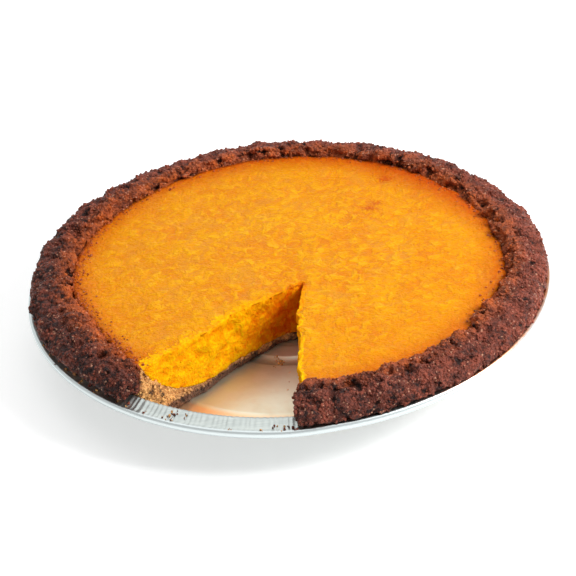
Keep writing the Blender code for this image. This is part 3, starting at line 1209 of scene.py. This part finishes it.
def mark_torn(mesh):
    """Stores 1 on the cut faces, falling to 0 a few millimetres away on the skin, because
    the knife drags torn puree up and over its edge."""
    values = []
    for vertex, cut in zip(mesh.vertices, mesh.attributes["cut"].data):
        offset = vertex.co.xy - SLICE_TIP
        reach, turn = offset.length, math.atan2(offset.y, offset.x)
        if turn < RIGHT_CUT - 0.3:
            turn += 2 * math.pi
        from_left = reach * (LEFT_CUT - turn) + read_table(LEFT_EDGE, reach)
        from_right = reach * (turn - RIGHT_CUT) - read_table(RIGHT_EDGE, reach)
        near_left = 1 - max(from_left, 0.0) / (LEFT_BAND * (0.3 + 0.7 * ease(reach / 0.05)))
        near_right = 1 - max(from_right, 0.0) / RIGHT_BAND
        values.append(max(cut.value, near_left, near_right, 0.0))
    store(mesh, "torn", values)


# %% Filling
shape = sweep(filling_top, filling_bottom, 0, 12, 1, 2)
shape_cuts(shape, 0.0)
filling = make_piece("sweet_potato_filling", shape)
mark_spill(filling.data)
mark_torn(filling.data)
grow(
    filling,
    PUREE_RELIEF,
    wave_height=0.00025,
    wrinkle_height=0.00012,
    tear_size=0.0045,
    tear_height=0.0007,
    grain_size=0.0018,
    grain_height=0.0003,
    finish=FILLING_FINISH,
)
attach(filling, "root")
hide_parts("filling")
print("filling:", count_triangles(filling), "triangles")
scatter("spilled_crumbs", filling, "crumb_crust", "spill", 1.6e6, 3e-4, 1.6e-3, 12, CRUMB_FINISH)
scatter(
    "torn_filling", filling, "sweet_potato_filling", "cut", 1.8e5, 3e-4, 9e-4, 21, FILLING_FINISH
)

# %% [markdown]
# ## Foil pan
#
# The pan is pressed from one sheet of thin foil. The press gathers the spare foil of the
# flange into hundreds of fine wrinkles and rolls its edge into a bead. The base has
# pressed rings that stiffen it. A lathe outline gives the round form, and a Geometry
# Nodes tree adds the wrinkles, because they repeat round the flange but no two are alike.

# %% Foil finish
FLANGE_FOIL = colour(180, 187, 184)
ROLLED_FOIL = colour(190, 196, 192)
BEAD_FOIL = colour(206, 214, 214)
BASE_FOIL = colour(224, 224, 204)
GREASE = colour(218, 190, 156)
# Partly a grease stain, partly a painted reflection of the orange filling.
RING_STAIN_AND_REFLECTION = colour(244, 206, 164)
BEAD_STAIN = colour(206, 132, 82)
STAINED_SIDE = (0.88, -0.48, 0.0)
MARK_LENGTH = 0.08
MARK_WIDTH = 0.0007


def rolling_marks(tree):
    """Fine marks along X that the mill leaves when it rolls the foil."""
    parts = add_node(tree, "ShaderNodeSeparateXYZ", {0: object_place(tree)}).outputs
    sizes = (MARK_LENGTH, MARK_WIDTH, MARK_WIDTH)
    shares = {index: Value(tree, parts[index]) / size for index, size in enumerate(sizes)}
    stretched = result_of(tree, "ShaderNodeCombineXYZ", shares)
    return noise_at(stretched, 1.0, 3.0).remap(0.45, 0.6)


def foil_material():
    made, tree, shader = new_material("pressed_foil", Metallic=1.0)
    radius = from_axis(tree)
    inside = radius.remap(0.088, 0.094, 1.0, 0.0)
    grease = mottling(tree, 0.014, 0.5, 0.75) * inside
    rolled = rolling_marks(tree)
    bead = radius.remap(PAN_RADIUS - 2 * ROLL_RADIUS, PAN_RADIUS - ROLL_RADIUS)
    outer_ring = radius.remap(RAISED_RADIUS - STEP_WIDTH, RAISED_RADIUS + 0.001)
    edge = radius.remap(0.1213, 0.1219, 1.0, 0.0)
    stain = edge * towards(tree, STAINED_SIDE).remap(0.098, 0.112)
    stain = stain * mottling(tree, 0.006, 0.3, 0.6).remap(0.0, 1.0, 0.4, 0.9)
    on_top = height_of(tree).remap(FLANGE_TOP - 0.0024, FLANGE_TOP - 0.0016)
    layers = (
        (rolled, ROLLED_FOIL),
        (bead, BEAD_FOIL),
        (inside, BASE_FOIL),
        (grease * 0.5, GREASE),
        # Grease stain and painted reflection of the filling on the base's outer ring.
        (outer_ring * inside, RING_STAIN_AND_REFLECTION),
        (stain * on_top, BEAD_STAIN),
    )
    blend_all(FLANGE_FOIL, layers).feed(shader["Base Color"])
    (inside.remap(0.0, 1.0, 0.36, 0.46) + grease * 0.12).feed(shader["Roughness"])
    bump(rolled * 0.04 + mottling(tree, 0.006, 0.3, 0.7) * 0.6, 0.0002, 0.5, shader)
    return made


FOIL_FINISH = foil_material()

# %% Pan outline
GROOVE_INNER_RADIUS = 0.0340
GROOVE_OUTER_RADIUS = 0.0410
GROOVE_DEPTH = 0.0005
ARC_PITCH = 0.0028
ARC_DEPTH = 0.00012
ARC_REACH = 0.0270
ARC_STEPS = 28
BASE_SEGMENTS = 420
FLANGE_SEGMENTS = 1680
FLANGE_STEPS = 4
ROLL_STEPS = 12
ROLL_TALLER = 1.6
# How far the flange's outer edge is bent down: azimuth in degrees, drop.
FLANGE_DROP = (
    (-180, 0.0012), (-150, 0.0016), (-110, 0.0020), (-94, 0.0020), (-80, 0.0010),
    (-60, 0.0003), (-40, 0.0), (150, 0.0), (180, 0.0012),
)


def flange_drop(x, y):
    """How far the flange is bent down at this place, from nothing at its inner edge."""
    width = PAN_RADIUS - 2 * ROLL_RADIUS - FLANGE_INNER_RADIUS
    share = ease((math.hypot(x, y) - FLANGE_INNER_RADIUS) / width)
    return share * read_table(FLANGE_DROP, math.degrees(math.atan2(y, x)))


def base_line():
    """(radius, height) points of the base's upper face, with its pressed rings."""
    high = FOIL + RAISED_HEIGHT
    groove = high - GROOVE_DEPTH
    made = []
    for step in range(1, ARC_STEPS + 1):
        radius = ARC_REACH * step / ARC_STEPS
        made.append(Vector((radius, high + ARC_DEPTH * math.sin(2 * math.pi * radius / ARC_PITCH))))
    made += [
        Vector((GROOVE_INNER_RADIUS - 0.0006, high)),
        Vector((GROOVE_INNER_RADIUS + 0.0002, high - 0.0001)),
        Vector((GROOVE_INNER_RADIUS + 0.0010, groove)),
        Vector((GROOVE_OUTER_RADIUS - 0.0010, groove)),
        Vector((GROOVE_OUTER_RADIUS - 0.0002, high - 0.0001)),
        Vector((GROOVE_OUTER_RADIUS + 0.0006, high)),
        Vector((0.0600, high)),
        Vector((RAISED_RADIUS - 1.3 * STEP_WIDTH, high)),
        Vector((RAISED_RADIUS - 0.7 * STEP_WIDTH, high - 0.0001)),
        Vector((RAISED_RADIUS, FOIL)),
        Vector((BASE_FLAT_RADIUS, FOIL)),
    ]
    return made


def parallel(line, distance):
    """The line that runs this far to the left of the given one."""
    steps = [(after - before).normalized() for before, after in zip(line, line[1:])]
    lefts = [Vector((-step.y, step.x)) for step in steps]
    made = []
    for index, point in enumerate(line):
        before = lefts[max(index - 1, 0)]
        after = lefts[min(index, len(lefts) - 1)]
        middle = (before + after).normalized()
        made.append(point + middle * distance / middle.dot(before))
    return made


def pan_rings():
    """Rings of the pan in order, as (point, segments): out over the upper face, round the
    rolled edge and back in under the lower face."""
    foot = Vector((WALL_FOOT_RADIUS, WALL_FOOT_HEIGHT))
    top = Vector((FLANGE_INNER_RADIUS, FLANGE_TOP))
    wall = [foot, foot.lerp(top, 0.5), foot.lerp(top, 0.93), top + Vector((0.0003, 0.0))]
    width = PAN_RADIUS - 2 * ROLL_RADIUS - top.x
    steps = range(1, FLANGE_STEPS + 1)
    flange = [Vector((top.x + width * step / FLANGE_STEPS, FLANGE_TOP)) for step in steps]
    upper = base_line() + wall + flange
    lower = [Vector((p.x, max(p.y, 0.0))) for p in parallel(upper, -FOIL)]
    segments = [BASE_SEGMENTS] * (len(base_line()) + 1) + [2 * BASE_SEGMENTS]
    segments += [FLANGE_SEGMENTS] * (len(upper) - len(segments))
    half_height = ROLL_TALLER * ROLL_RADIUS
    centre = Vector((PAN_RADIUS - ROLL_RADIUS, FLANGE_TOP - 0.9 * half_height))
    roll = []
    for step in range(ROLL_STEPS + 1):
        turn = math.radians(105 - 320 * step / ROLL_STEPS)
        point = centre + Vector((ROLL_RADIUS * math.cos(turn), half_height * math.sin(turn)))
        roll.append((point, FLANGE_SEGMENTS))
    outside = list(zip(lower, segments))[-2::-1]
    return list(zip(upper, segments)) + roll + outside


def pan_ring(shape, point, segments):
    made = []
    for index in range(segments):
        turn = 2 * math.pi * index / segments
        x, y = point.x * math.cos(turn), point.x * math.sin(turn)
        made.append(shape.verts.new((x, y, point.y - flange_drop(x, y))))
    return made


def join_rings(shape, first, second):
    """Faces between two rings. One may have twice the other's corners."""
    if len(first) > len(second):
        first, second = second, first
    count = len(first)
    for index in range(count):
        following = (index + 1) % count
        if len(second) == count:
            shape.faces.new((first[index], first[following], second[following], second[index]))
            continue
        near, middle, far = (second[(2 * index + step) % len(second)] for step in range(3))
        shape.faces.new((first[index], middle, near))
        shape.faces.new((first[index], first[following], middle))
        shape.faces.new((first[following], far, middle))


# %% Pan wrinkles


def pressed_wrinkles():
    tree, given, result = geometry_tree(
        "Pressed wrinkles",
        wrinkles=280.0,
        depth=0.0005,
        inner_radius=FLANGE_INNER_RADIUS,
        outer_radius=PAN_RADIUS,
    )
    flat = position(tree).vector("MULTIPLY", (1.0, 1.0, 0.0))
    radius = flat.vector("LENGTH")
    direction = flat.vector("NORMALIZE")
    parts = add_node(tree, "ShaderNodeSeparateXYZ", {0: flat}).outputs
    angle = Value(tree, parts[1]).math("ARCTAN2", Value(tree, parts[0]))
    crowd = (noise_at(direction, 14.0) - 0.5) * 16.0
    folds = angle.math("MULTIPLY_ADD", given.wrinkles, crowd).math("SINE")
    around = direction.scaled(given.wrinkles / (2 * math.pi))
    height = folds * noise_at(around, 0.7).remap(0.3, 0.7, 0.35, 1.3)
    after_bend = radius.remap(given.inner_radius - 0.0015, given.inner_radius)
    before_roll = radius.remap(given.outer_radius - 0.0019, given.outer_radius - 0.0012, 1.0, 0.0)
    push = height * (after_bend * before_roll) * given.depth
    offset = result_of(tree, "ShaderNodeCombineXYZ", {2: push})
    finish_tree(shifted(given.geometry, offset), given, result)
    return tree


PRESSED_WRINKLES = pressed_wrinkles()

# %% Pan
shape = bmesh.new()
rings = [pan_ring(shape, *ring) for ring in pan_rings()]
for first, second in zip(rings, rings[1:]):
    join_rings(shape, first, second)
for ring, height in ((rings[0], FOIL + RAISED_HEIGHT), (rings[-1], RAISED_HEIGHT)):
    centre = shape.verts.new((0, 0, height))
    for index, vertex in enumerate(ring):
        shape.faces.new((vertex, ring[index - 1], centre))
pan = make_piece("foil_pan", shape)
grow(pan, PRESSED_WRINKLES, wrinkles=310.0, depth=0.00013, finish=FOIL_FINISH)
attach(pan, "root")
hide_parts("pie_pan")
print("pan:", count_triangles(pan), "triangles")

# %% [markdown]
# ## Loose crumbs
#
# Cutting the slice left crumbs behind: brown ones on the flange and a few golden ones on
# the base. They lie where the knife dropped them, so their places are a short list, and
# the same crumb tree that dressed the rim shapes them.

# %% Loose crumbs
# Where each crumb lies: azimuth in degrees, radius, size.
FLANGE_CRUMBS = (
    (-158.0, 0.1186, 0.0016), (-154.0, 0.1190, 0.0014), (-150.5, 0.1187, 0.0020),
    (-147.0, 0.1192, 0.0015), (-144.0, 0.1184, 0.0021), (-141.0, 0.1190, 0.0014),
    (-138.5, 0.1183, 0.0020), (-136.0, 0.1189, 0.0017), (-133.5, 0.1182, 0.0018),
    (-127.2, 0.1181, 0.0016), (-129.9, 0.1182, 0.0012), (-122.8, 0.1200, 0.0010),
    (-117.2, 0.1179, 0.0016), (-116.3, 0.1169, 0.0013), (-116.5, 0.1198, 0.0010),
    (-118.4, 0.1196, 0.0008), (-113.7, 0.1163, 0.0010), (-104.0, 0.1205, 0.0010),
    (-97.7, 0.1200, 0.0011), (-95.0, 0.1178, 0.0013), (-93.0, 0.1196, 0.0015),
    (-91.3, 0.1192, 0.0018),
)
BASE_CRUMBS = (
    (-103.2, 0.0344, 0.0012), (-101.3, 0.0372, 0.0011), (-100.3, 0.0398, 0.0015),
    (-103.0, 0.0423, 0.0008), (-99.3, 0.0382, 0.0013), (-98.0, 0.0405, 0.0009),
    (-120.7, 0.0380, 0.0013), (-93.0, 0.0470, 0.0006), (-93.4, 0.0540, 0.0005),
    (-93.7, 0.0601, 0.0007),
)
BITS = 4
BIT_SPREAD = 1.1
BIT_SIZE = 0.5


def loose_crumbs(name, places, ground, finish):
    """Crumbs that rest on the pan, each with a few smaller bits round it."""
    chance = random.Random(7)
    points, sizes = [], []
    for azimuth, radius, size in places:
        turn = math.radians(azimuth)
        for bit in range(1 + BITS):
            shift = BIT_SPREAD * size if bit else 0.0
            x = radius * math.cos(turn) + chance.uniform(-shift, shift)
            y = radius * math.sin(turn) + chance.uniform(-shift, shift)
            own = size * (BIT_SIZE * chance.uniform(0.5, 1.2) if bit else 0.8)
            points.append((x, y, ground(x, y) + 0.3 * own))
            sizes.append(own)
    mesh = bpy.data.meshes.new(name)
    mesh.from_pydata(points, [], [])
    store(mesh, "size", sizes)
    made = bpy.data.objects.new(name, mesh)
    bpy.context.scene.collection.objects.link(made)
    grow(made, CRUMBS_ON_POINTS, roundness=2, dent=0.0006, seed=5, finish=finish)
    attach(made, "root")
    print(name + ":", len(points), "crumbs")


def flange_height(x, y):
    return FLANGE_TOP - flange_drop(x, y)


def base_height(x, y):
    return FOIL + RAISED_HEIGHT


loose_crumbs("flange_crumbs", FLANGE_CRUMBS, flange_height, FALLEN_FINISH)
loose_crumbs("base_crumbs", BASE_CRUMBS, base_height, GOLDEN_FINISH)

# %% [markdown]
# ## Table, light and backdrop
#
# The pie stands on a plain pale table. One large lamp at the right and in front models
# the crust and lights the left cut face, and leaves the outer left side in shade. A
# white sky fills the shadows and gives the foil something bright to mirror.

# %% Table and light
# The lamps: name, place, power in watts, size.
LAMPS = (
    ("key_lamp", (0.92, -0.22, 0.80), 18.0, 0.50),
    ("top_lamp", (0.0, 0.30, 1.70), 9.0, 2.0),
    ("back_lamp", (-0.30, 1.60, 1.00), 6.0, 2.0),
)
LIT_PLACE = Vector((0.0, 0.0, 0.02))
SKY_STRENGTH = 0.38
MIRRORED_SHARE = 0.5
TABLE_GLOW = 0.45
TABLE_REACH = 3.0

for name, place, power, size in LAMPS:
    lamp = bpy.data.objects.new(name, bpy.data.lights.new(name, "AREA"))
    lamp.data.energy = power
    lamp.data.size = size
    bpy.context.scene.collection.objects.link(lamp)
    place_and_aim(lamp, Vector(place), LIT_PLACE)

sky = bpy.data.worlds.new("sky")
sky.use_nodes = True
bpy.context.scene.world = sky
backdrop = sky.node_tree.nodes["Background"].inputs
backdrop["Color"].default_value = (1.0, 1.0, 1.0, 1.0)
paths = add_node(sky.node_tree, "ShaderNodeLightPath").outputs
mirrored = Value(sky.node_tree, paths["Is Glossy Ray"]) * MIRRORED_SHARE
seen = Value(sky.node_tree, paths["Is Camera Ray"]).math("MAXIMUM", mirrored)
seen.remap(0.0, 1.0, SKY_STRENGTH, 1.0).feed(backdrop["Strength"])

table_mesh = bpy.data.meshes.new("table")
corners = [(x * TABLE_REACH, y * TABLE_REACH, 0) for x, y in ((-1, -1), (1, -1), (1, 1), (-1, 1))]
table_mesh.from_pydata(corners, [], [(0, 1, 2, 3)])
table = bpy.data.objects.new("table", table_mesh)
bpy.context.scene.collection.objects.link(table)
table_finish, _, _ = new_material(
    "pale_table",
    Base_Color=(0.8, 0.8, 0.8, 1.0),
    Roughness=0.7,
    Emission_Color=(1.0, 1.0, 1.0, 1.0),
    Emission_Strength=TABLE_GLOW,
)
table_mesh.materials.append(table_finish)
bpy.context.scene.view_settings.view_transform = "Standard"
